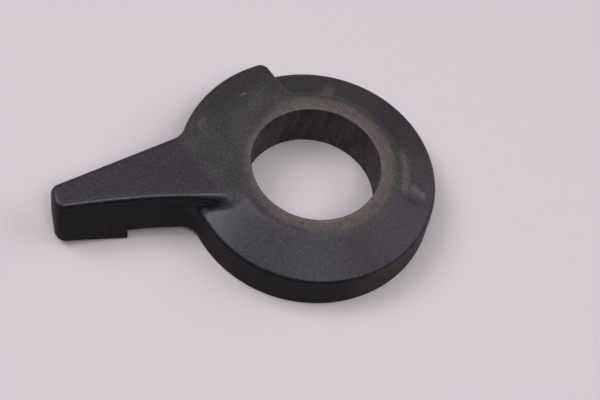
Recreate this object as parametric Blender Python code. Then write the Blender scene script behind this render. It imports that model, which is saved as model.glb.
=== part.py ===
"""A ring lever: a flat moulded plastic ring with one tapered arm, turned by hand on a round bar.

The bore's axis is Z. The underside of the ring and the inner end of the arm's foot lie in the plane
Z = 0. The arm points along +X. Everything is in metres. The lever is one moulding, so it is one object.
"""

import math

import bmesh
import bpy
from mathutils import Vector
from mathutils.geometry import interpolate_bezier

MM = 0.001
QUARTER_TURN = math.radians(90.0)

# The ring: a drafted bore, a flat land around it, a cone falling outwards, and a drafted outer wall.
BORE_RADIUS_TOP = 11.2 * MM
BORE_RADIUS_BOTTOM = 11.65 * MM
LAND_RADIUS = 14.2 * MM
RING_RADIUS = 21.8 * MM
RING_TOP_RADIUS = 21.65 * MM
HEIGHT = 10.4 * MM
RING_EDGE_HEIGHT = 7.0 * MM
RING_EDGE_ROUND = 1.0 * MM
BASE_ROUND = 0.4 * MM

# The raised sector: level with the land, beside the arm, ending in a straight step down to the cone.
SECTOR_RADIUS = 22.8 * MM
SECTOR_CENTRE_X = 0.9 * MM
STEP_HEADING = math.radians(-67.8)
STEP_OFFSET = 4.6 * MM
STEP_CORNER = 1.6 * MM

# The arm: a straight back edge, a curved front edge that runs into the land, and leaning sides.
TIP_X = 45.1 * MM
TIP_CORNER = 1.8 * MM
TIP_BACK_Y = -2.3 * MM
BACK_TAPER = math.radians(16.7)
BACK_FILLET = 3.0 * MM
TIP_FRONT_Y = 2.05 * MM
FRONT_END_RADIUS = 13.6 * MM
FRONT_END_ANGLE = math.radians(38.0)
FRONT_TIP_HANDLE = 12.3 * MM
FRONT_HUB_HANDLE = 7.2 * MM
SIDE_DRAFT = math.radians(9.0)
ARM_ROUND = 1.2 * MM

# The underside of the arm and of the sector's rim is lifted clear, except at the foot by the tip. The
# foot stands on its inner end, and its underside rises from there to the tip.
RELIEF_HEIGHT = 2.3 * MM
FOOT_X = 33.0 * MM
FOOT_ROUND = 0.4 * MM
FOOT_RISE = math.radians(6.5)
FOOT_OVERLAP = 1.0 * MM

RING_SEGMENTS = 96
CURVE_STEPS = 16
CORNER_STEPS = 4
ROUND_STEPS = 3
BORE_OVERRUN = 1.0 * MM
SMOOTH_ANGLE = math.radians(30.0)


def arc(centre, radius, start, end, steps):
    """Points along an arc, with both its ends."""
    angles = [start + (end - start) * i / steps for i in range(steps + 1)]
    return [Vector((centre.x + radius * math.cos(a), centre.y + radius * math.sin(a))) for a in angles]


def heading(vector):
    return math.atan2(vector.y, vector.x)


def line_circle(point, direction, centre, radius, furthest):
    """Where a line meets a circle: the further of the two crossings along the line, or the nearer."""
    to_point = point - centre
    along = to_point.dot(direction)
    reach = math.sqrt(along * along - to_point.length_squared + radius * radius)
    return point + direction * ((reach if furthest else -reach) - along)


def front_edge(spread):
    """The arm's front edge, from the land out to the tip, with its side moved out by spread."""
    end = FRONT_END_RADIUS * Vector((math.cos(FRONT_END_ANGLE), math.sin(FRONT_END_ANGLE)))
    end_handle = end + FRONT_HUB_HANDLE * Vector((math.sin(FRONT_END_ANGLE), -math.cos(FRONT_END_ANGLE)))
    tip = Vector((TIP_X - TIP_CORNER, TIP_FRONT_Y))
    tip_handle = tip - Vector((FRONT_TIP_HANDLE, 0.0))
    points = interpolate_bezier(end, end_handle, tip_handle, tip, CURVE_STEPS + 1)
    return [Vector((p.x, p.y + spread)) for p in points]


def tip_corners(spread):
    """The two round corners of the tip, from the front side to the back side."""
    front = Vector((TIP_X - TIP_CORNER, TIP_FRONT_Y + spread - TIP_CORNER))
    lean = QUARTER_TURN - BACK_TAPER
    drop = TIP_CORNER * math.tan(lean / 2.0)
    back = Vector((TIP_X - TIP_CORNER, TIP_BACK_Y - spread + drop))
    corner = arc(front, TIP_CORNER, QUARTER_TURN, 0.0, CORNER_STEPS)
    return corner[1:] + arc(back, TIP_CORNER, 0.0, -lean, CORNER_STEPS)


def back_line(spread):
    """A point on the arm's straight back edge, and the edge's direction towards the ring."""
    return Vector((TIP_X, TIP_BACK_Y - spread)), Vector((-math.cos(BACK_TAPER), -math.sin(BACK_TAPER)))


def sector_edge(spread):
    """From the back edge round the sector, and along the step in to the land."""
    centre = Vector((SECTOR_CENTRE_X, 0.0))
    point, direction = back_line(spread)
    outward = Vector((-direction.y, direction.x))
    hollow = line_circle(
        point + outward * BACK_FILLET, direction, centre, SECTOR_RADIUS + BACK_FILLET, furthest=False
    )
    hollow_end = heading(centre - hollow)
    points = arc(hollow, BACK_FILLET, heading(-outward), hollow_end, CORNER_STEPS)

    along = Vector((math.cos(STEP_HEADING), math.sin(STEP_HEADING)))
    across = Vector((along.y, -along.x))
    offset = STEP_OFFSET + spread
    corner = line_circle(
        across * (offset - STEP_CORNER), along, centre, SECTOR_RADIUS - STEP_CORNER, furthest=True
    )
    corner_start = heading(corner - centre)
    points += arc(centre, SECTOR_RADIUS, heading(hollow - centre), corner_start, CURVE_STEPS)[1:]
    points += arc(corner, STEP_CORNER, corner_start, heading(across), CORNER_STEPS)[1:]
    axis = Vector((0.0, 0.0))
    return points + [line_circle(across * offset, along, axis, FRONT_END_RADIUS, furthest=True)]


def raised_outline(height):
    """The plan of the arm and sector at a height, clockwise as seen from above."""
    spread = (HEIGHT - height) * math.tan(SIDE_DRAFT)
    return front_edge(spread) + tip_corners(spread) + sector_edge(spread)


def foot_outline(height):
    """The plan of the foot at a height, clockwise as seen from above."""
    spread = (HEIGHT - height) * math.tan(SIDE_DRAFT)
    front = [p for p in front_edge(spread) if p.x > FOOT_X]
    point, direction = back_line(spread)
    back = point + direction * ((point.x - FOOT_X) / -direction.x)
    return [Vector((FOOT_X, front[0].y))] + front + tip_corners(spread) + [back]


def inset(points, distance):
    """A clockwise outline drawn in by a distance, each corner along its bisector."""
    result = []
    for i, point in enumerate(points):
        before = (point - points[i - 1]).normalized()
        after = (points[(i + 1) % len(points)] - point).normalized()
        inward = Vector((before.y, -before.x)) + Vector((after.y, -after.x))
        result.append(point + inward * (2.0 * distance / inward.length_squared))
    return result


def mesh_object(name, vertices, faces):
    """A new object with its faces turned outwards."""
    mesh = bpy.data.meshes.new(name)
    mesh.from_pydata(vertices, [], faces)
    body = bmesh.new()
    body.from_mesh(mesh)
    bmesh.ops.recalc_face_normals(body, faces=body.faces)
    body.to_mesh(mesh)
    body.free()
    obj = bpy.data.objects.new(name, mesh)
    bpy.context.scene.collection.objects.link(obj)
    return obj


def lofted(name, levels):
    """A closed solid through outlines with equal numbers of points: (height, outline) from the bottom up."""
    count = len(levels[0][1])
    vertices = [(p.x, p.y, height) for height, outline in levels for p in outline]
    top = (len(levels) - 1) * count
    faces = [list(range(count)), list(range(top, top + count))]
    for base in range(0, top, count):
        for i in range(count):
            j = (i + 1) % count
            faces.append([base + i, base + j, base + count + j, base + count + i])
    return mesh_object(name, vertices, faces)


def turned(name, profile):
    """A solid of revolution about Z: (radius, height) pairs that start and end on the axis."""
    rings = [
        [
            Vector((radius * math.cos(turn), radius * math.sin(turn)))
            for turn in (math.tau * i / RING_SEGMENTS for i in range(RING_SEGMENTS))
        ]
        for radius, _ in profile
    ]
    return lofted(name, [(height, ring) for (_, height), ring in zip(profile, rings)])


def rounded_top(height, outline, radius):
    """Levels that round off the top edge of a wall that ends in the given outline."""
    turns = [QUARTER_TURN * i / ROUND_STEPS for i in range(ROUND_STEPS + 1)]
    return [
        (height - radius * (1.0 - math.sin(turn)), inset(outline, radius * (1.0 - math.cos(turn))))
        for turn in turns
    ]


def make_ring():
    """The ring without its bore, as a turned blank."""
    draft = math.atan2(RING_RADIUS - RING_TOP_RADIUS, RING_EDGE_HEIGHT)
    cone = math.atan2(RING_TOP_RADIUS - LAND_RADIUS, HEIGHT - RING_EDGE_HEIGHT)
    corner = Vector((RING_TOP_RADIUS, RING_EDGE_HEIGHT))
    middle = (draft + cone) / 2.0
    reach = RING_EDGE_ROUND / math.cos((cone - draft) / 2.0)
    centre = corner - reach * Vector((math.cos(middle), math.sin(middle)))
    rim = arc(centre, RING_EDGE_ROUND, draft, cone, ROUND_STEPS)
    base = arc(
        Vector((RING_RADIUS - BASE_ROUND, BASE_ROUND)), BASE_ROUND, -QUARTER_TURN, 0.0, ROUND_STEPS
    )
    profile = [(p.x, p.y) for p in base + rim] + [(LAND_RADIUS, HEIGHT)]
    return turned("ring_lever", profile)


def make_arm():
    """The arm and the sector, from the lifted underside up to the rounded top edge."""
    shoulder = HEIGHT - ARM_ROUND
    walls = [(z, raised_outline(z)) for z in (RELIEF_HEIGHT, RING_EDGE_HEIGHT)]
    return lofted("arm", walls + rounded_top(HEIGHT, raised_outline(shoulder), ARM_ROUND))


def slope_underside(foot, top):
    """Lifts the foot's underside towards the tip, and keeps its sides in line with the arm's."""
    for vertex in foot.data.vertices:
        place = vertex.co
        outwards = max(place.x - FOOT_X - FOOT_ROUND, 0.0)
        lift = outwards * math.tan(FOOT_RISE) * (1.0 - place.z / top)
        place.z += lift
        place.y -= math.copysign(lift * math.tan(SIDE_DRAFT), place.y)


def make_foot():
    """The foot under the tip, which carries on the arm's sides down to its sloping underside."""
    base = foot_outline(0.0)
    top = RELIEF_HEIGHT + FOOT_OVERLAP
    turns = [QUARTER_TURN * i / ROUND_STEPS for i in range(ROUND_STEPS + 1)]
    levels = [
        (FOOT_ROUND * (1.0 - math.cos(turn)), inset(base, FOOT_ROUND * (1.0 - math.sin(turn))))
        for turn in turns
    ]
    foot = lofted("foot", levels + [(top, foot_outline(top))])
    slope_underside(foot, top)
    return foot


def make_bore():
    """The cutter for the bore, which narrows upwards and runs past both faces."""
    slope = (BORE_RADIUS_TOP - BORE_RADIUS_BOTTOM) / HEIGHT
    ends = (-BORE_OVERRUN, HEIGHT + BORE_OVERRUN)
    return turned("bore", [(BORE_RADIUS_BOTTOM + slope * z, z) for z in ends])


def cut_or_join(target, tool, operation):
    """Adds an exact Boolean and keeps its tool out of the model."""
    tool.hide_render = True
    tool.display_type = "WIRE"
    modifier = target.modifiers.new(tool.name, "BOOLEAN")
    modifier.operation = operation
    modifier.solver = "EXACT"
    modifier.object = tool


def black_plastic():
    """Satin black plastic with a spark-eroded finish."""
    material = bpy.data.materials.new("black_plastic")
    material.use_nodes = True
    shader = material.node_tree.nodes["Principled BSDF"]
    shader.inputs["Base Color"].default_value = (0.03, 0.031, 0.034, 1.0)
    shader.inputs["Roughness"].default_value = 0.55
    shader.inputs["Metallic"].default_value = 0.0
    return material


def build():
    for old in list(bpy.data.objects):
        bpy.data.objects.remove(old)
    lever = make_ring()
    cut_or_join(lever, make_arm(), "UNION")
    cut_or_join(lever, make_foot(), "UNION")
    cut_or_join(lever, make_bore(), "DIFFERENCE")
    lever.data.materials.append(black_plastic())
    lever.data.shade_smooth()
    lever.data.set_sharp_from_angle(angle=SMOOTH_ANGLE)


build()
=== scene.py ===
"""The ring lever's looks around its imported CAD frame: its finished surface, its material and the studio.

The body is described as distances to its faces, joined with rounded edges and hollows, and meshed
from that. Lengths in the shape and material parts are millimetres in the frame's axes: the bore's
axis is Z, the arm points along +X, and the ring's underside is Z = 0.
"""

import itertools
import math
from collections import namedtuple

import bpy
import numpy as np
from mathutils import Matrix, Vector


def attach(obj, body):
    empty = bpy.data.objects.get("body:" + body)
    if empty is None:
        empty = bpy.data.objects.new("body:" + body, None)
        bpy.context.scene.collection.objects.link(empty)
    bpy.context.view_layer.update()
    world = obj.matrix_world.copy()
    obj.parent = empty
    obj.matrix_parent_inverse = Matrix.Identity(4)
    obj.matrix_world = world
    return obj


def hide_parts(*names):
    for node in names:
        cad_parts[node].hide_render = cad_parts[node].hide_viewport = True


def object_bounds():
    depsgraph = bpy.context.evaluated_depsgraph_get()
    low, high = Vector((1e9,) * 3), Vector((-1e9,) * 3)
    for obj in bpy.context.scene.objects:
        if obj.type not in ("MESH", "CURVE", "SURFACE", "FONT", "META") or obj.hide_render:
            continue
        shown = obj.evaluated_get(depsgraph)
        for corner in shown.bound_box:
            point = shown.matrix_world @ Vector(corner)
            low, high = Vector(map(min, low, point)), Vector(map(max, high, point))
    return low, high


MM = 0.001

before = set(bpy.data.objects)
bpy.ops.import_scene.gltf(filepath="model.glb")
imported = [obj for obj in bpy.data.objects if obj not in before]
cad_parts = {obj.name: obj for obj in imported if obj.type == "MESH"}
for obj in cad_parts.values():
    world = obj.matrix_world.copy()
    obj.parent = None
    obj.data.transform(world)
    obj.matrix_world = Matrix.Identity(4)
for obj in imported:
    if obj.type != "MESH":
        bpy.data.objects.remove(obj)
cad_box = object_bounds()


def in_mm(metres):
    """A length in millimetres, to the nearest micron."""
    return round(metres / MM, 3)


def bore_radius(height):
    """The bore's radius at one of its two rims, where the CAD's innermost corners are."""
    corners = [v.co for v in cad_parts["ring_lever"].data.vertices]
    return in_mm(min(math.hypot(c.x, c.y) for c in corners if in_mm(c.z) == height))


# The CAD's box ends at the tip in X, at the ring in Y and at the flat top in Z.
TIP_X, RING_RADIUS, HEIGHT = (in_mm(c) for c in cad_box[1])

# The ring.
BORE_RADIUS_TOP = bore_radius(HEIGHT)
BORE_RADIUS_BOTTOM = bore_radius(0.0)
LAND_RADIUS = 14.2
RING_TOP_RADIUS = 21.65
RING_EDGE_HEIGHT = 7.0

# The raised sector.
SECTOR_RADIUS = 22.8
SECTOR_CENTRE_X = 0.9
STEP_HEADING = math.radians(-67.8)
STEP_OFFSET = 4.6

# The arm.
TIP_BACK_Y = -2.3
TIP_FRONT_Y = 2.05
BACK_TAPER = math.radians(16.7)
FRONT_END_RADIUS = 13.6
FRONT_START_ANGLE = math.radians(150.0)
FRONT_END_ANGLE = math.radians(38.0)
FRONT_TIP_HANDLE = 12.3
FRONT_HUB_HANDLE = 7.2
SIDE_DRAFT = math.radians(9.0)
RELIEF_HEIGHT = 2.3
FOOT_X = 33.0
FOOT_RISE = math.radians(6.5)

# The radius of each rounded edge and hollow corner.
CREASE_ROUND = 2.5
RING_EDGE_ROUND = 1.0
BASE_ROUND = 0.4
BORE_ROUND = 0.25
ARM_ROUND = 1.2
HUB_ROUND = 2.6
TIP_ROUND = 1.8
FOOT_ROUND = 0.4
RELIEF_ROUND = 0.25
STEP_CORNER = 1.6
BACK_FILLET = 3.0
FRONT_FILLET = 1.7
OUTER_FILLET = 3.8
STEP_FILLET = 0.4

# The most that the hollow beside the raised part reaches: a share of the wall's height, and a little.
FILLET_SHARE = 0.75
LEAST_REACH = 0.02

# Where the arm's edge passes from ARM_ROUND to HUB_ROUND.
HUB_ROUND_X = (23.0, 15.0)
HUB_ROUND_Y = (0.0, 4.0)

# Where the hollow on the front begins and is full, and where it passes from FRONT_FILLET to OUTER_FILLET.
FRONT_FILLET_X = (3.0, 9.0)
FRONT_FILLET_Y = (-1.0, 3.0)
OUTER_FILLET_R = (RING_RADIUS - 1.6, RING_RADIUS + 0.4)

# How far the surface turns at each edge.
SQUARE = math.radians(90.0)
RING_DRAFT = math.atan2(RING_RADIUS - RING_TOP_RADIUS, RING_EDGE_HEIGHT)
CONE_FALL = math.atan2(HEIGHT - RING_EDGE_HEIGHT, RING_TOP_RADIUS - LAND_RADIUS)
BACK_CORNER_TURN = math.radians(49.0)
STEP_CORNER_TURN = math.radians(79.0)
FRONT_CORNER_TURN = math.radians(65.0)

# The mesh: the size of its cells, and the room left round the body, in cells.
CELL = 0.30
ROOM_BELOW = 1.6
ROOM_ABOVE = 2.4

# How finely the front curve and the gradients are worked out, and how the vertices settle: in how many
# rounds, in how many of them they also spread, and how far towards their neighbours' middle.
FRONT_CURVE_STEPS = 400
GRADIENT_STEP = 0.02
SETTLE_ROUNDS = 6
SPREAD_ROUNDS = 4
SPREAD_SHARE = 0.5
LEAST_SLOPE_SQUARED = 0.25


def reach(radius, turn):
    """How far a rounding of a radius reaches where the surface turns by an angle, for the two below."""
    return radius * math.tan(turn / 2.0) * math.sin(turn)


def rounded_max(a, b, extent):
    """Inside both: the edge where they meet is rounded off over the extent."""
    return np.minimum(-extent, np.maximum(a, b)) + np.hypot(
        np.maximum(extent + a, 0.0), np.maximum(extent + b, 0.0)
    )


def rounded_min(a, b, extent):
    """Inside either: the corner where they meet is filled by a hollow of the extent."""
    return np.maximum(extent, np.minimum(a, b)) - np.hypot(
        np.maximum(extent - a, 0.0), np.maximum(extent - b, 0.0)
    )


def ramp(value, start, end):
    """A smooth step from 0 at start to 1 at end."""
    t = np.clip((value - start) / (end - start), 0.0, 1.0)
    return t * t * (3.0 - 2.0 * t)


def front_curve():
    """The arm's front edge as y over x: from the far side of the land, round it, and out to the tip."""
    t = np.linspace(0.0, 1.0, FRONT_CURVE_STEPS)[:, None]
    cos, sin = math.cos(FRONT_END_ANGLE), math.sin(FRONT_END_ANGLE)
    a = np.array([FRONT_END_RADIUS * cos, FRONT_END_RADIUS * sin])
    b = a + FRONT_HUB_HANDLE * np.array([sin, -cos])
    d = np.array([TIP_X - TIP_ROUND, TIP_FRONT_Y])
    c = d - np.array([FRONT_TIP_HANDLE, 0.0])
    bezier = (1 - t) ** 3 * a + 3 * (1 - t) ** 2 * t * b + 3 * (1 - t) * t**2 * c + t**3 * d
    turn = np.linspace(FRONT_START_ANGLE, FRONT_END_ANGLE, FRONT_CURVE_STEPS)[:-1, None]
    hub = FRONT_END_RADIUS * np.hstack([np.cos(turn), np.sin(turn)])
    return np.vstack([hub, bezier])


FRONT = front_curve()
FRONT_SLOPE = np.gradient(FRONT[:, 1], FRONT[:, 0])


def ring_distance(x, y, z):
    """The turned ring without its bore."""
    r = np.hypot(x, y)
    wall = (r - RING_RADIUS) * math.cos(RING_DRAFT) + z * math.sin(RING_DRAFT)
    cone = (r - LAND_RADIUS) * math.sin(CONE_FALL) + (z - HEIGHT) * math.cos(CONE_FALL)
    upper = rounded_max(cone, z - HEIGHT, reach(CREASE_ROUND, CONE_FALL))
    side = rounded_max(wall, upper, reach(RING_EDGE_ROUND, SQUARE - CONE_FALL))
    return rounded_max(side, -z, reach(BASE_ROUND, SQUARE))


def raised_outline(x, y, z):
    """The walls of the arm and the sector. The front, the back and the step lean out by the draft from
    the top down, and the rim and the end of the tip are upright."""
    spread = (HEIGHT - z) * math.tan(SIDE_DRAFT)
    slope = np.interp(x, FRONT[:, 0], FRONT_SLOPE)
    front = (y - np.interp(x, FRONT[:, 0], FRONT[:, 1]) - spread) / np.sqrt(1.0 + slope**2)
    back = ((TIP_BACK_Y - y) - (TIP_X - x) * math.tan(BACK_TAPER)) * math.cos(BACK_TAPER) - spread
    rim = np.hypot(x - SECTOR_CENTRE_X, y) - SECTOR_RADIUS
    across = x * math.sin(STEP_HEADING) - y * math.cos(STEP_HEADING)
    step = across - STEP_OFFSET - spread

    outline = rounded_min(back, rim, reach(BACK_FILLET, BACK_CORNER_TURN))
    outline = rounded_max(outline, x - TIP_X, reach(TIP_ROUND, SQUARE - BACK_TAPER))
    outline = rounded_max(outline, step, reach(STEP_CORNER, STEP_CORNER_TURN))
    return rounded_max(outline, front, reach(TIP_ROUND, SQUARE)) * math.cos(SIDE_DRAFT)


def raised_distance(x, y, z):
    """The arm and the sector, level with the land, clear of the base except at the foot by the tip."""
    near_hub = ramp(x, *HUB_ROUND_X) * ramp(y, *HUB_ROUND_Y)
    edge_round = ARM_ROUND + (HUB_ROUND - ARM_ROUND) * near_hub
    body = rounded_max(raised_outline(x, y, z), z - HEIGHT, edge_round * reach(1.0, SQUARE - SIDE_DRAFT))
    lift = np.maximum(x - FOOT_X - FOOT_ROUND, 0.0) * math.tan(FOOT_RISE)
    under = (lift - z) * math.cos(FOOT_RISE)
    body = rounded_max(body, under, reach(FOOT_ROUND, SQUARE + SIDE_DRAFT))
    relief = rounded_min(FOOT_X - x, RELIEF_HEIGHT - z, reach(RELIEF_ROUND, SQUARE))
    return rounded_max(body, relief, reach(RELIEF_ROUND, SQUARE))


def fillet_reach(x, y):
    """The hollow between ring and raised part: wide where the arm leaves the ring's outer wall, narrow
    on the cone, and never wider than a share of the wall that stands there."""
    r = np.hypot(x, y)
    rise = np.clip((r - LAND_RADIUS) * math.tan(CONE_FALL), 0.0, HEIGHT - RING_EDGE_HEIGHT)
    in_front = ramp(y, *FRONT_FILLET_Y) * ramp(x, *FRONT_FILLET_X)
    outside = ramp(r, *OUTER_FILLET_R)
    radius = FRONT_FILLET + (OUTER_FILLET - FRONT_FILLET) * outside
    front = radius * reach(1.0, FRONT_CORNER_TURN) * in_front
    step = reach(STEP_FILLET, SQUARE)
    return np.minimum(np.maximum(front, step), FILLET_SHARE * rise + LEAST_REACH)


def body_distance(x, y, z):
    """The whole lever: below zero inside, above zero outside."""
    solid = rounded_min(ring_distance(x, y, z), raised_distance(x, y, z), fillet_reach(x, y))
    solid = np.maximum(np.maximum(solid, z - HEIGHT), -z)
    slope = (BORE_RADIUS_TOP - BORE_RADIUS_BOTTOM) / HEIGHT
    bore = (np.hypot(x, y) - BORE_RADIUS_BOTTOM - slope * z) * math.cos(math.atan(slope))
    return rounded_max(solid, -bore, reach(BORE_ROUND, SQUARE))


def gradient(points):
    """The distance's gradient at points."""
    return np.stack(
        [
            (body_distance(*(points + s).T) - body_distance(*(points - s).T)) / (2.0 * GRADIENT_STEP)
            for s in np.eye(3) * GRADIENT_STEP
        ],
        axis=1,
    )


def edge_ends(grid, axis):
    """The grid's values at the lower and at the upper end of each of its edges along an axis."""
    lower = [slice(None)] * 3
    upper = [slice(None)] * 3
    lower[axis], upper[axis] = slice(None, -1), slice(1, None)
    return grid[tuple(lower)], grid[tuple(upper)]


def cell_vertices(value):
    """A vertex for each cell that the surface crosses, in cells from the grid's corner, and a grid of
    their numbers. A vertex is the mean of where the surface crosses its cell's edges."""
    cells = tuple(n - 1 for n in value.shape)
    total = np.zeros(cells + (3,))
    crossings = np.zeros(cells)
    for axis in range(3):
        a, b = edge_ends(value, axis)
        crossed = (a < 0.0) != (b < 0.0)
        share = np.where(crossed, a / np.where(crossed, a - b, 1.0), 0.0)
        others = [k for k in range(3) if k != axis]
        for sides in itertools.product((0, 1), repeat=2):
            part = [slice(None)] * 3
            for k, side in zip(others, sides):
                part[k] = slice(side, side + cells[k])
            hit = crossed[tuple(part)]
            crossings += hit
            offset = np.zeros(3)
            offset[others] = sides
            total += hit[..., None] * offset
            total[..., axis] += share[tuple(part)] * hit
    active = crossings > 0
    number = np.full(cells, -1)
    number[active] = np.arange(int(active.sum()))
    return np.argwhere(active) + total[active] / crossings[active][:, None], number


def crossing_faces(inside, number):
    """A face between the four cells round each grid edge that the surface crosses, facing outwards."""
    faces = []
    for axis in range(3):
        a, b = edge_ends(inside, axis)
        crossed = np.argwhere(a != b)
        u, v = (axis + 1) % 3, (axis + 2) % 3
        around = []
        for du, dv in ((-1, -1), (0, -1), (0, 0), (-1, 0)):
            at = crossed.copy()
            at[:, u] += du
            at[:, v] += dv
            around.append(number[tuple(at.T)])
        quads = np.stack(around, axis=1)
        outwards = inside[tuple(crossed.T)]
        quads[~outwards] = quads[~outwards][:, ::-1]
        faces.append(quads)
    return np.vstack(faces)


def meshed(cell):
    """Vertices and four-sided faces of the body's surface, one vertex to each cell that it crosses."""
    low = np.array([-RING_RADIUS, -SECTOR_RADIUS, 0.0]) - ROOM_BELOW * cell
    high = np.array([TIP_X, RING_RADIUS, HEIGHT]) + ROOM_ABOVE * cell
    axes = [np.arange(a, b + cell, cell) for a, b in zip(low, high)]
    value = np.stack(
        [body_distance(*np.broadcast_arrays(x, axes[1][:, None], axes[2][None, :])) for x in axes[0]]
    )
    vertices, number = cell_vertices(value)
    return low + cell * vertices, crossing_faces(value < 0.0, number)


def settled(points, faces):
    """Spreads the vertices evenly and puts them on the surface. The last rounds only do the second."""
    edges = np.vstack([faces[:, [0, 1]], faces[:, [1, 2]], faces[:, [2, 3]], faces[:, [3, 0]]])
    count = np.bincount(edges.ravel(), minlength=len(points))[:, None]
    for turn in range(SETTLE_ROUNDS):
        slope = gradient(points)
        size = np.maximum((slope**2).sum(1), LEAST_SLOPE_SQUARED)
        points = points - slope * (body_distance(*points.T) / size)[:, None]
        if turn < SPREAD_ROUNDS:
            total = np.zeros_like(points)
            for k in range(3):
                total[:, k] += np.bincount(edges[:, 0], points[edges[:, 1], k], len(points))
                total[:, k] += np.bincount(edges[:, 1], points[edges[:, 0], k], len(points))
            pull = total / count - points
            normal = slope / np.sqrt(size)[:, None]
            pull -= normal * (pull * normal).sum(1)[:, None]
            points = points + SPREAD_SHARE * pull
    return points


def make_lever(cell):
    """The lever's finished surface, shaded with the shape's own normals."""
    points, faces = meshed(cell)
    points = settled(points, faces)
    normals = gradient(points)
    normals /= np.linalg.norm(normals, axis=1)[:, None]
    mesh = bpy.data.meshes.new("lever")
    mesh.from_pydata((points * MM).tolist(), [], faces.tolist())
    mesh.shade_smooth()
    mesh.normals_split_custom_set_from_vertices(normals.tolist())
    lever = bpy.data.objects.new("lever", mesh)
    bpy.context.scene.collection.objects.link(lever)
    return lever


# A patch of dirt: where it lies, its half length and half width, the way it points, how ragged its
# edge is and how thickly the dirt lies.
Patch = namedtuple("Patch", "centre half_length half_width heading ragged strength")


class Shading:
    """Builds arithmetic in a material's node tree. Each call gives back an output socket."""

    # How deep a patch goes, where its edge fades in half sizes, and how much of a dot is solid.
    PATCH_DEPTH = 4.0
    PATCH_EDGE = (1.15, 0.45)
    DOT_CORE = 0.3

    def __init__(self, material):
        self.tree = material.node_tree

    def node(self, kind, **settings):
        node = self.tree.nodes.new(kind)
        for name, value in settings.items():
            setattr(node, name, value)
        return node

    def feed(self, socket, value):
        if isinstance(value, bpy.types.NodeSocket):
            self.tree.links.new(value, socket)
        else:
            socket.default_value = value

    def math(self, operation, *values):
        node = self.node("ShaderNodeMath", operation=operation)
        for socket, value in zip(node.inputs, values):
            self.feed(socket, value)
        return node.outputs[0]

    def folded(self, operation, values):
        result = values[0]
        for value in values[1:]:
            result = self.math(operation, result, value)
        return result

    def product(self, *values):
        return self.folded("MULTIPLY", values)

    def largest(self, *values):
        return self.folded("MAXIMUM", values)

    def between(self, share, at_none, at_full):
        """A value that goes from one to the other as the share goes from 0 to 1."""
        return self.math("MULTIPLY_ADD", share, at_full - at_none, at_none)

    def apart(self, value, middle):
        """How far a value is from a middle one."""
        return self.math("ABSOLUTE", self.math("SUBTRACT", value, middle))

    def dot(self, place, direction):
        """How far a place lies along a direction."""
        node = self.node("ShaderNodeVectorMath", operation="DOT_PRODUCT")
        self.feed(node.inputs[0], place)
        self.feed(node.inputs[1], direction)
        return node.outputs["Value"]

    def length(self, place):
        node = self.node("ShaderNodeVectorMath", operation="LENGTH")
        self.feed(node.inputs[0], place)
        return node.outputs["Value"]

    def scaled(self, triple, scale):
        """A place or a colour, multiplied."""
        node = self.node("ShaderNodeVectorMath", operation="MULTIPLY")
        self.feed(node.inputs[0], triple)
        self.feed(node.inputs[1], scale)
        return node.outputs[0]

    def rises(self, value, start, end):
        """0 before the start, 1 past the end, smooth between. An end below the start makes it fall."""
        node = self.node("ShaderNodeMapRange", interpolation_type="SMOOTHSTEP")
        self.feed(node.inputs["Value"], value)
        node.inputs["From Min"].default_value = min(start, end)
        node.inputs["From Max"].default_value = max(start, end)
        node.inputs["To Min"].default_value = 0.0 if end > start else 1.0
        node.inputs["To Max"].default_value = 1.0 if end > start else 0.0
        return node.outputs[0]

    def noise(self, place, per_mm, detail, roughness):
        node = self.node("ShaderNodeTexNoise")
        self.feed(node.inputs["Vector"], place)
        node.inputs["Scale"].default_value = per_mm
        node.inputs["Detail"].default_value = detail
        node.inputs["Roughness"].default_value = roughness
        return node.outputs[0]

    def dots(self, place, per_mm, share, size):
        """Small round dots in a share of the cells of a random pattern."""
        node = self.node("ShaderNodeTexVoronoi")
        self.feed(node.inputs["Vector"], place)
        node.inputs["Scale"].default_value = per_mm
        chosen = self.node("ShaderNodeSeparateColor")
        self.feed(chosen.inputs[0], node.outputs["Color"])
        dot = self.rises(node.outputs["Distance"], size, self.DOT_CORE * size)
        return self.product(dot, self.rises(chosen.outputs[0], 1.0 - share, 1.0))

    def patch(self, place, wobble, patch):
        """Where a ragged patch of dirt lies."""
        node = self.node("ShaderNodeMapping", vector_type="TEXTURE")
        self.feed(node.inputs["Vector"], place)
        node.inputs["Location"].default_value = patch.centre
        node.inputs["Rotation"].default_value = (0.0, 0.0, patch.heading)
        node.inputs["Scale"].default_value = (patch.half_length, patch.half_width, self.PATCH_DEPTH)
        edge = self.product(wobble, patch.ragged)
        return self.rises(self.math("ADD", self.length(node.outputs[0]), edge), *self.PATCH_EDGE)

    def mixed(self, share, below, above):
        node = self.node("ShaderNodeMix", data_type="RGBA")
        self.feed(node.inputs["Factor"], share)
        for socket, colour in (("A", below), ("B", above)):
            value = colour if isinstance(colour, bpy.types.NodeSocket) else (*colour, 1.0)
            self.feed([i for i in node.inputs if i.name == socket and i.type == "RGBA"][0], value)
        return [o for o in node.outputs if o.type == "RGBA"][0]


# The plastic's colours and its dirt, in linear light.
CLEAN_BLACK = (0.0042, 0.0042, 0.0050)
# WALL_BROWN is painted light from the floor on the lower walls, in patches.
WALL_BROWN = (0.0105, 0.0086, 0.0074)
# SIDE_BROWN is dust on one side of the ring, and a painted reflection of the floor on the end of the tip.
SIDE_BROWN = (0.0350, 0.0285, 0.0260)
DUST_FILM = (0.0480, 0.0438, 0.0475)
DUST_THICK = (0.0575, 0.0520, 0.0550)
ARM_BLUE = (0.0395, 0.0338, 0.0445)
BAND_BROWN = (0.1000, 0.0810, 0.0760)
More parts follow.
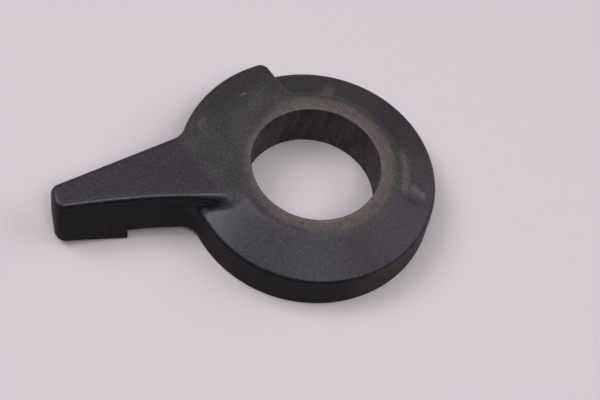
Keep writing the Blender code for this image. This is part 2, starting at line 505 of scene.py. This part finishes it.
# BAND_PALE is paler dust and a painted highlight along the bore's rim.
BAND_PALE = (0.1500, 0.1260, 0.1260)
BORE_OLIVE = (0.0610, 0.0530, 0.0470)
BORE_DARK = (0.0250, 0.0225, 0.0210)
RUST = (0.1150, 0.0620, 0.0420)
DIRT = (0.1600, 0.1360, 0.1180)
PALE_DIRT = (0.2100, 0.1820, 0.1720)
# SPECK_AND_GLINT is the colour of pale dust specks and of painted glints.
SPECK_AND_GLINT = (0.2400, 0.2330, 0.2450)

# Headings about the bore's axis.
FRONT_HEADING = math.radians(90.0)
BACK_HEADING = math.radians(-118.0)
SECTOR_END_HEADING = math.radians(-68.0)
DUSTY_SIDE_HEADING = math.radians(125.0)
BAND_FACING_ARM = math.radians(-17.0)
DARK_RING_HEADING = math.radians(46.0)
RUST_HEADING = math.radians(165.0)
CRESCENT_HEADING = math.radians(166.0)

# Radii about the bore's axis.
BAND_OUTER = 13.9
BAND_OUTER_AT_ARM = 12.7
BAND_PALE_RADIUS = 12.3
DARK_RING_RADIUS = 13.7
CRESCENT_RADIUS = 15.8

# The line on the arm's top beyond which its dust is bluer: a point on it, and how it leans.
TONE_LINE_X = 19.3
TONE_LINE_Y = -1.1
TONE_LINE_LEAN = 0.4

# The marks: two of dirt, one wiped clean and three of paler dirt.
CLUMP = Patch((-6.0, -15.0, 9.7), 2.1, 1.3, math.radians(60.0), ragged=1.3, strength=0.45)
SMUDGE = Patch((17.8, -11.2, HEIGHT), 1.8, 1.0, math.radians(60.0), ragged=1.0, strength=0.30)
WIPED = Patch((-14.6, 8.8, 9.6), 2.6, 0.7, math.radians(150.0), ragged=1.0, strength=0.40)
SMEAR = Patch((-16.8, 7.5, 8.0), 2.1, 1.15, math.radians(138.0), ragged=1.3, strength=0.55)
BLOT = Patch((9.4, -16.0, HEIGHT), 0.55, 0.35, math.radians(20.0), ragged=0.8, strength=1.0)
SCUFF = Patch((8.4, -13.6, HEIGHT), 1.6, 0.7, math.radians(70.0), ragged=1.0, strength=0.15)

# How much each layer covers of what lies under it, where it is thickest.
BAND_STRENGTH = 0.85
BAND_PALE_STRENGTH = 0.60
DARK_RING_STRENGTH = 0.65
RUST_STRENGTH = 0.75
DIRT_STRENGTH = 0.80
PALE_DIRT_STRENGTH = 0.75
SPECK_AND_GLINT_STRENGTH = 0.55

# How much of the dust film is taken off as painted shade on the cone behind and at the sector's end by the
# step, and how much of the band is left near the arm.
SHADE_ON_BACK_CONE = 0.45
SHADE_AT_SECTOR_END = 0.32
BAND_LEFT_AT_ARM = 0.65

# The noises: bumps to a millimetre, layers of finer bumps, and how strong those are.
CLOUD = (0.16, 3.0, 0.55)
STREAK = (0.55, 5.0, 0.68)
MOTTLE = (0.7, 4.0, 0.65)
RAGGED = (1.3, 4.0, 0.7)
GRIT = (2.6, 3.0, 0.7)
FINE = (3.4, 3.0, 0.75)
GRAIN = (3.4, 4.0, 0.75)

# The streaks are stretched along Z.
STREAK_STRETCH = (1.0, 1.0, 0.22)

# The pale specks, partly dust and partly painted glints: cells to a millimetre, the share of them with a
# dot, and its size in the cell.
MANY_SPECKS = (3.1, 0.30, 0.34)
FEW_SPECKS = (1.1, 0.12, 0.15)

# How far the wobble moves an edge, and how far the fine noise lightens and darkens the colour.
WOBBLE = 0.9
TONE_GRAIN = 0.9

# The surface's gloss: how rough it is, how that varies, how much rougher it is on what is matt, how matt
# the band is, and how much smoother the worn edges are.
ROUGHNESS = 0.34
ROUGHNESS_SPREAD = 0.08
MATT_ROUGHER = 0.34
BAND_MATT = 0.9
EDGE_SMOOTHER = 0.08
SPECULAR_LEVEL = 0.20

# The surface's relief: its depth, how much is left on worn edges, and the shares of the fine noise and
# of dirt in it.
GRAIN_DEPTH = 0.028 * MM
GRAIN_ON_EDGES = 0.25
GRAIN_OF_FINE = 0.4
GRAIN_OF_DIRT = 2.0


class Plastic(Shading):
    """The places, directions and noises that the plastic's layers share."""

    def __init__(self, material):
        super().__init__(material)
        metres = self.node("ShaderNodeTexCoord").outputs["Object"]
        self.place = self.scaled(metres, (1.0 / MM,) * 3)
        parts = self.node("ShaderNodeSeparateXYZ")
        self.feed(parts.inputs[0], self.place)
        self.x, self.y, self.z = parts.outputs
        self.plan = self.scaled(self.place, (1.0, 1.0, 0.0))
        self.r = self.length(self.plan)
        facing = self.node("ShaderNodeNewGeometry").outputs["Normal"]
        self.upward = self.dot(facing, (0.0, 0.0, 1.0))

        self.cloud = self.noise(self.place, *CLOUD)
        self.mottle = self.noise(self.place, *MOTTLE)
        self.grit = self.noise(self.place, *GRIT)
        self.fine = self.noise(self.place, *FINE)
        self.wobble = self.between(self.noise(self.place, *RAGGED), -WOBBLE, WOBBLE)
        self.on_top = self.dusty_tops()

    def towards(self, angle):
        """1 on the side of the bore at an angle, -1 on the far side."""
        heading = (math.cos(angle), math.sin(angle), 0.0)
        return self.math("DIVIDE", self.dot(self.plan, heading), self.r)

    def dusty_tops(self):
        """What faces up, and the whole slope where the arm's front meets the cone."""
        near_arm = self.product(self.rises(self.x, 23.0, 19.0), self.rises(self.y, 4.0, 7.0))
        junction = self.product(near_arm, self.rises(self.r, 20.2, 17.8))
        on_slope = self.product(junction, self.rises(self.upward, -0.05, 0.45))
        return self.largest(self.rises(self.upward, 0.48, 0.93), on_slope)


def wall_colour(g):
    """The walls: browner and lighter low down, in patches, as painted light from the floor, and dusty on
    one side. The end of the tip gets the side's brown as a painted reflection of the floor.
    """
    # Painted light: browner and lighter low down, where the floor's light falls on the walls, in random
    # patches.
    patchy_floor_light = g.product(g.rises(g.z, 8.5, 3.0), g.rises(g.mottle, 0.35, 0.65))
    colour = g.mixed(patchy_floor_light, CLEAN_BLACK, WALL_BROWN)
    one_side = g.rises(g.towards(DUSTY_SIDE_HEADING), 0.80, 0.99)
    # On the end of the tip this brown is a painted reflection of the floor, not dust.
    tip_end = g.rises(g.x, TIP_X - 0.9, TIP_X - 0.1)
    dust_and_floor_reflection = g.product(g.largest(one_side, tip_end), g.rises(g.mottle, 0.25, 0.60))
    return g.mixed(dust_and_floor_reflection, colour, SIDE_BROWN)


def with_dust(g, colour):
    """A dust film on what faces up: bluer on the arm and the cone in front, and thinned as painted shade
    on the cone behind and at the sector's end by the step."""
    film = g.mixed(g.rises(g.cloud, 0.40, 0.66), DUST_FILM, DUST_THICK)
    past_x = g.math("SUBTRACT", g.x, TONE_LINE_X)
    past = g.math("MULTIPLY_ADD", g.math("SUBTRACT", g.y, TONE_LINE_Y), TONE_LINE_LEAN, past_x)
    arm = g.rises(g.math("ADD", past, g.wobble), -0.9, 1.1)
    on_cone = g.rises(g.r, LAND_RADIUS, LAND_RADIUS + 1.4)
    front_cone = g.product(on_cone, g.rises(g.towards(FRONT_HEADING), 0.0, 0.6))
    film = g.mixed(g.largest(arm, front_cone), film, ARM_BLUE)

    # Painted shade: less film on the cone behind, which faces away from the light, and by the sector's end
    # at the step, to darken them.
    back = g.rises(g.towards(BACK_HEADING), 0.25, 0.85)
    past_band = g.rises(g.r, BAND_OUTER, BAND_OUTER + 1.0)
    back_cone = g.product(back, past_band, g.rises(g.z, HEIGHT - 0.3, HEIGHT - 0.7))
    sector_end = g.product(g.rises(g.r, 15.5, 21.0), g.rises(g.towards(SECTOR_END_HEADING), 0.70, 0.97))
    painted_shade = g.largest(
        g.product(back_cone, SHADE_ON_BACK_CONE), g.product(sector_end, SHADE_AT_SECTOR_END)
    )
    cover = g.product(g.on_top, g.math("SUBTRACT", 1.0, painted_shade), g.rises(g.grit, 0.05, 0.62))
    return g.mixed(cover, colour, film)


def band_share(g):
    """Where the band of dust round the bore lies. It is narrower and weaker on the arm's side."""
    at_arm = g.rises(g.towards(BAND_FACING_ARM), 0.40, 0.80)
    outer = g.between(at_arm, BAND_OUTER, BAND_OUTER_AT_ARM)
    inside = g.math("ADD", g.math("SUBTRACT", outer, g.r), g.product(g.wobble, 0.55))
    weaker = g.between(at_arm, 1.0, BAND_LEFT_AT_ARM)
    band = g.product(g.rises(inside, -0.7, 0.9), g.rises(g.upward, 0.45, 0.9), weaker)
    uneven = g.math("ADD", g.mottle, g.product(g.grit, 0.6))
    return g.product(band, g.rises(uneven, 0.42, 0.86))


def with_band(g, colour, band):
    """The band, paler towards the bore, partly paler dust and partly a painted highlight along the bore's
    rim, and a darker ring along part of its outer edge.
    """
    # Paler towards the bore: partly paler dust, partly a painted highlight along the bore's rim.
    pale_and_rim_highlight = g.rises(g.math("ADD", g.math("SUBTRACT", BAND_PALE_RADIUS, g.r), g.wobble), -0.4, 1.0)
    dust = g.mixed(g.product(pale_and_rim_highlight, BAND_PALE_STRENGTH), BAND_BROWN, BAND_PALE)
    colour = g.mixed(g.product(band, BAND_STRENGTH), colour, dust)
    # Darker along part of the band's outer edge, by the crease, in the arm's tone.
    on_ring = g.rises(g.apart(g.r, DARK_RING_RADIUS), 0.75, 0.2)
    dark_ring = g.product(on_ring, g.rises(g.towards(DARK_RING_HEADING), 0.86, 0.97), g.on_top)
    return g.mixed(g.product(dark_ring, DARK_RING_STRENGTH), colour, ARM_BLUE)


def bore_share(g):
    """Where the bore's wall is."""
    near_bore = g.rises(g.r, BORE_RADIUS_BOTTOM + 0.3, BORE_RADIUS_BOTTOM + 0.1)
    return g.product(near_bore, g.rises(g.upward, 0.7, 0.3))


def with_bore_grime(g, colour, in_bore):
    """Olive grime in streaks along the bore, with rust on one side."""
    streak = g.noise(g.scaled(g.place, STREAK_STRETCH), *STREAK)
    grime = g.mixed(g.rises(streak, 0.38, 0.62), BORE_DARK, BORE_OLIVE)
    rusty = g.product(g.rises(g.towards(RUST_HEADING), 0.55, 0.98), g.rises(g.grit, 0.50, 0.62))
    grime = g.mixed(g.product(rusty, RUST_STRENGTH), grime, RUST)
    return g.mixed(in_bore, colour, grime)


def crescent_share(g):
    """Where dirt lies on the cone a little outside the land, in an arc that fades at its ends."""
    crumbs = g.rises(g.math("ADD", g.grit, g.product(g.fine, 0.5)), 0.66, 0.92)
    ragged = g.math("ADD", g.apart(g.r, CRESCENT_RADIUS), g.product(g.wobble, 1.2))
    arc = g.rises(g.towards(CRESCENT_HEADING), 0.935, 0.990)
    return g.product(g.rises(ragged, 1.1, 0.0), arc, g.between(crumbs, 0.40, 0.80))


def patches_share(g, patches):
    """Where any of the patches lies, a little grainy."""
    grainy = g.between(g.rises(g.fine, 0.35, 0.70), 0.45, 0.80)
    return g.largest(*(g.product(g.patch(g.place, g.wobble, p), grainy, p.strength) for p in patches))


def with_dirt(g, colour, dirt, pale_dirt):
    """The dirt, the paler dirt over it, and a wiped patch that shows the black."""
    colour = g.mixed(g.product(dirt, DIRT_STRENGTH), colour, DIRT)
    colour = g.mixed(g.product(pale_dirt, PALE_DIRT_STRENGTH), colour, PALE_DIRT)
    wiped = g.product(g.patch(g.place, g.wobble, WIPED), WIPED.strength)
    return g.mixed(wiped, colour, CLEAN_BLACK)


def with_specks_and_glints(g, colour):
    """Fine pale specks all over, partly dust and partly painted glints, most on what faces up, and a grain
    in the tone.
    """
    # The specks stand partly for dust and partly for painted glints off the grain.
    specks_and_glints = g.largest(g.dots(g.place, *MANY_SPECKS), g.dots(g.place, *FEW_SPECKS))
    seen = g.between(g.on_top, 0.10, 0.85)
    colour = g.mixed(g.product(specks_and_glints, seen, SPECK_AND_GLINT_STRENGTH), colour, SPECK_AND_GLINT)
    return g.scaled(colour, g.between(g.fine, 1.0 - TONE_GRAIN, 1.0 + TONE_GRAIN))


def worn_edges(g):
    """The rounded edges that face partly up, except at the back."""
    arm_edge = g.product(g.rises(g.x, 15.0, 19.0), g.rises(g.upward, 0.985, 0.94))
    edges = g.largest(g.rises(g.upward, 0.89, 0.78), arm_edge)
    return g.product(edges, g.rises(g.upward, 0.15, 0.40), g.rises(g.y, -9.0, -6.0))


def set_gloss(g, shader, matt, edges):
    """Uneven gloss, duller on what is matt and brighter on the worn edges."""
    rough = g.between(g.grit, ROUGHNESS - ROUGHNESS_SPREAD, ROUGHNESS + ROUGHNESS_SPREAD)
    rough = g.math("MULTIPLY_ADD", matt, MATT_ROUGHER, rough)
    rough = g.math("MULTIPLY_ADD", edges, -EDGE_SMOOTHER, rough)
    g.feed(shader.inputs["Roughness"], rough)
    shader.inputs["Specular IOR Level"].default_value = SPECULAR_LEVEL


def set_relief(g, shader, dirt, edges):
    """The moulding's fine grain and the roughness of the dirt, worn down on the edges."""
    grain = g.math("ADD", g.noise(g.place, *GRAIN), g.product(g.fine, GRAIN_OF_FINE))
    bump = g.node("ShaderNodeBump")
    bump.inputs["Distance"].default_value = GRAIN_DEPTH
    g.feed(bump.inputs["Strength"], g.between(edges, 1.0, GRAIN_ON_EDGES))
    g.feed(bump.inputs["Height"], g.math("ADD", grain, g.product(dirt, g.mottle, GRAIN_OF_DIRT)))
    g.feed(shader.inputs["Normal"], bump.outputs[0])


def make_plastic():
    """Finely grained black plastic with dust, dirt, rust and small pale specks of dust and painted glint.
    """
    material = bpy.data.materials.new("black_plastic")
    material.use_nodes = True
    shader = material.node_tree.nodes["Principled BSDF"]
    g = Plastic(material)

    band = band_share(g)
    in_bore = bore_share(g)
    dirt = g.largest(crescent_share(g), patches_share(g, (CLUMP, SMUDGE)))
    pale_dirt = patches_share(g, (SMEAR, BLOT, SCUFF))
    colour = with_dust(g, wall_colour(g))
    colour = with_band(g, colour, band)
    colour = with_bore_grime(g, colour, in_bore)
    colour = with_dirt(g, colour, dirt, pale_dirt)
    g.feed(shader.inputs["Base Color"], with_specks_and_glints(g, colour))

    edges = worn_edges(g)
    all_dirt = g.largest(dirt, pale_dirt)
    walls = g.rises(g.upward, 0.30, 0.12)
    matt = g.largest(g.product(band, BAND_MATT), all_dirt, in_bore, walls)
    set_gloss(g, shader, matt, edges)
    set_relief(g, shader, all_dirt, edges)
    return material


lever = make_lever(CELL)
lever.data.materials.append(make_plastic())
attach(lever, "root")
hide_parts("ring_lever")


# The studio, in metres.
FLOOR_HALF = 1.5
FLOOR_COLOUR = (0.622, 0.566, 0.600, 1.0)
FLOOR_ROUGHNESS = 0.8
FLOOR_SPECULAR_LEVEL = 0.2

CAMERA_TARGET = Vector((1.76, 0.89, 0.0)) * MM
CAMERA_DISTANCE = 231.2 * MM
CAMERA_CLIP_START = 0.01
LIGHT_DISTANCE = 0.9
SOFT_SIZE = 0.45

# The camera's azimuth and elevation in degrees, its roll, and its lens and sensor in millimetres.
CAMERA_AZIMUTH = 155.0
CAMERA_ELEVATION = 57.8
CAMERA_ROLL = math.radians(13.76)
CAMERA_LENS = 78.0
CAMERA_SENSOR = 36.0

# Each light's azimuth and elevation in degrees, its size and its power in watts.
LIGHTS = {
    "front_high": (112.0, 70.0, SOFT_SIZE, 1.0),
    "front": (186.0, 60.0, 0.28, 2.4),
    "right": (260.0, 46.0, SOFT_SIZE, 1.9),
    "left": (58.0, 54.0, SOFT_SIZE, 4.0),
    "back_high": (335.0, 75.0, SOFT_SIZE, 1.0),
    "back_right": (285.0, 26.0, SOFT_SIZE, 0.6),
}
WORLD_COLOUR = (0.9, 0.93, 1.0, 1.0)
WORLD_STRENGTH = 0.03


def direction(azimuth, elevation):
    """Towards an azimuth, which is 0 at -Y and 90 at +X, and an elevation, both in degrees."""
    a, e = math.radians(azimuth), math.radians(elevation)
    return Vector((math.sin(a) * math.cos(e), -math.cos(a) * math.cos(e), math.sin(e)))


def make_floor():
    """A plain pale floor."""
    mesh = bpy.data.meshes.new("floor")
    corners = [(x * FLOOR_HALF, y * FLOOR_HALF, 0.0) for x, y in ((-1, -1), (1, -1), (1, 1), (-1, 1))]
    mesh.from_pydata(corners, [], [(0, 1, 2, 3)])
    floor = bpy.data.objects.new("floor", mesh)
    bpy.context.scene.collection.objects.link(floor)
    material = bpy.data.materials.new("floor")
    material.use_nodes = True
    shader = material.node_tree.nodes["Principled BSDF"]
    shader.inputs["Base Color"].default_value = FLOOR_COLOUR
    shader.inputs["Roughness"].default_value = FLOOR_ROUGHNESS
    shader.inputs["Specular IOR Level"].default_value = FLOOR_SPECULAR_LEVEL
    mesh.materials.append(material)


def make_camera():
    """The camera looks at its target from its azimuth and elevation, rolled about its own axis."""
    back = direction(CAMERA_AZIMUTH, CAMERA_ELEVATION)
    level = Vector((0.0, 0.0, 1.0)).cross(back).normalized()
    up = back.cross(level)
    across = level * math.cos(CAMERA_ROLL) + up * math.sin(CAMERA_ROLL)
    turn = Matrix((across, back.cross(across), back)).transposed().to_4x4()
    data = bpy.data.cameras.new("camera")
    data.lens = CAMERA_LENS
    data.sensor_width = CAMERA_SENSOR
    data.clip_start = CAMERA_CLIP_START
    camera = bpy.data.objects.new("camera", data)
    bpy.context.scene.collection.objects.link(camera)
    camera.matrix_world = Matrix.Translation(CAMERA_TARGET + back * CAMERA_DISTANCE) @ turn
    bpy.context.scene.camera = camera


def make_light(name, azimuth, elevation, size, power):
    """A square soft light that looks at the object."""
    place = LIGHT_DISTANCE * direction(azimuth, elevation)
    data = bpy.data.lights.new(name, "AREA")
    data.energy = power
    data.size = size
    light = bpy.data.objects.new(name, data)
    light.location = place
    light.rotation_euler = (-place).to_track_quat("-Z", "Y").to_euler()
    bpy.context.scene.collection.objects.link(light)


def make_world():
    """A faint even light from all round."""
    world = bpy.data.worlds.new("world")
    world.use_nodes = True
    background = world.node_tree.nodes["Background"]
    background.inputs["Color"].default_value = WORLD_COLOUR
    background.inputs["Strength"].default_value = WORLD_STRENGTH
    bpy.context.scene.world = world
    bpy.context.scene.view_settings.view_transform = "Standard"


make_floor()
make_camera()
for name, settings in LIGHTS.items():
    make_light(name, *settings)
make_world()
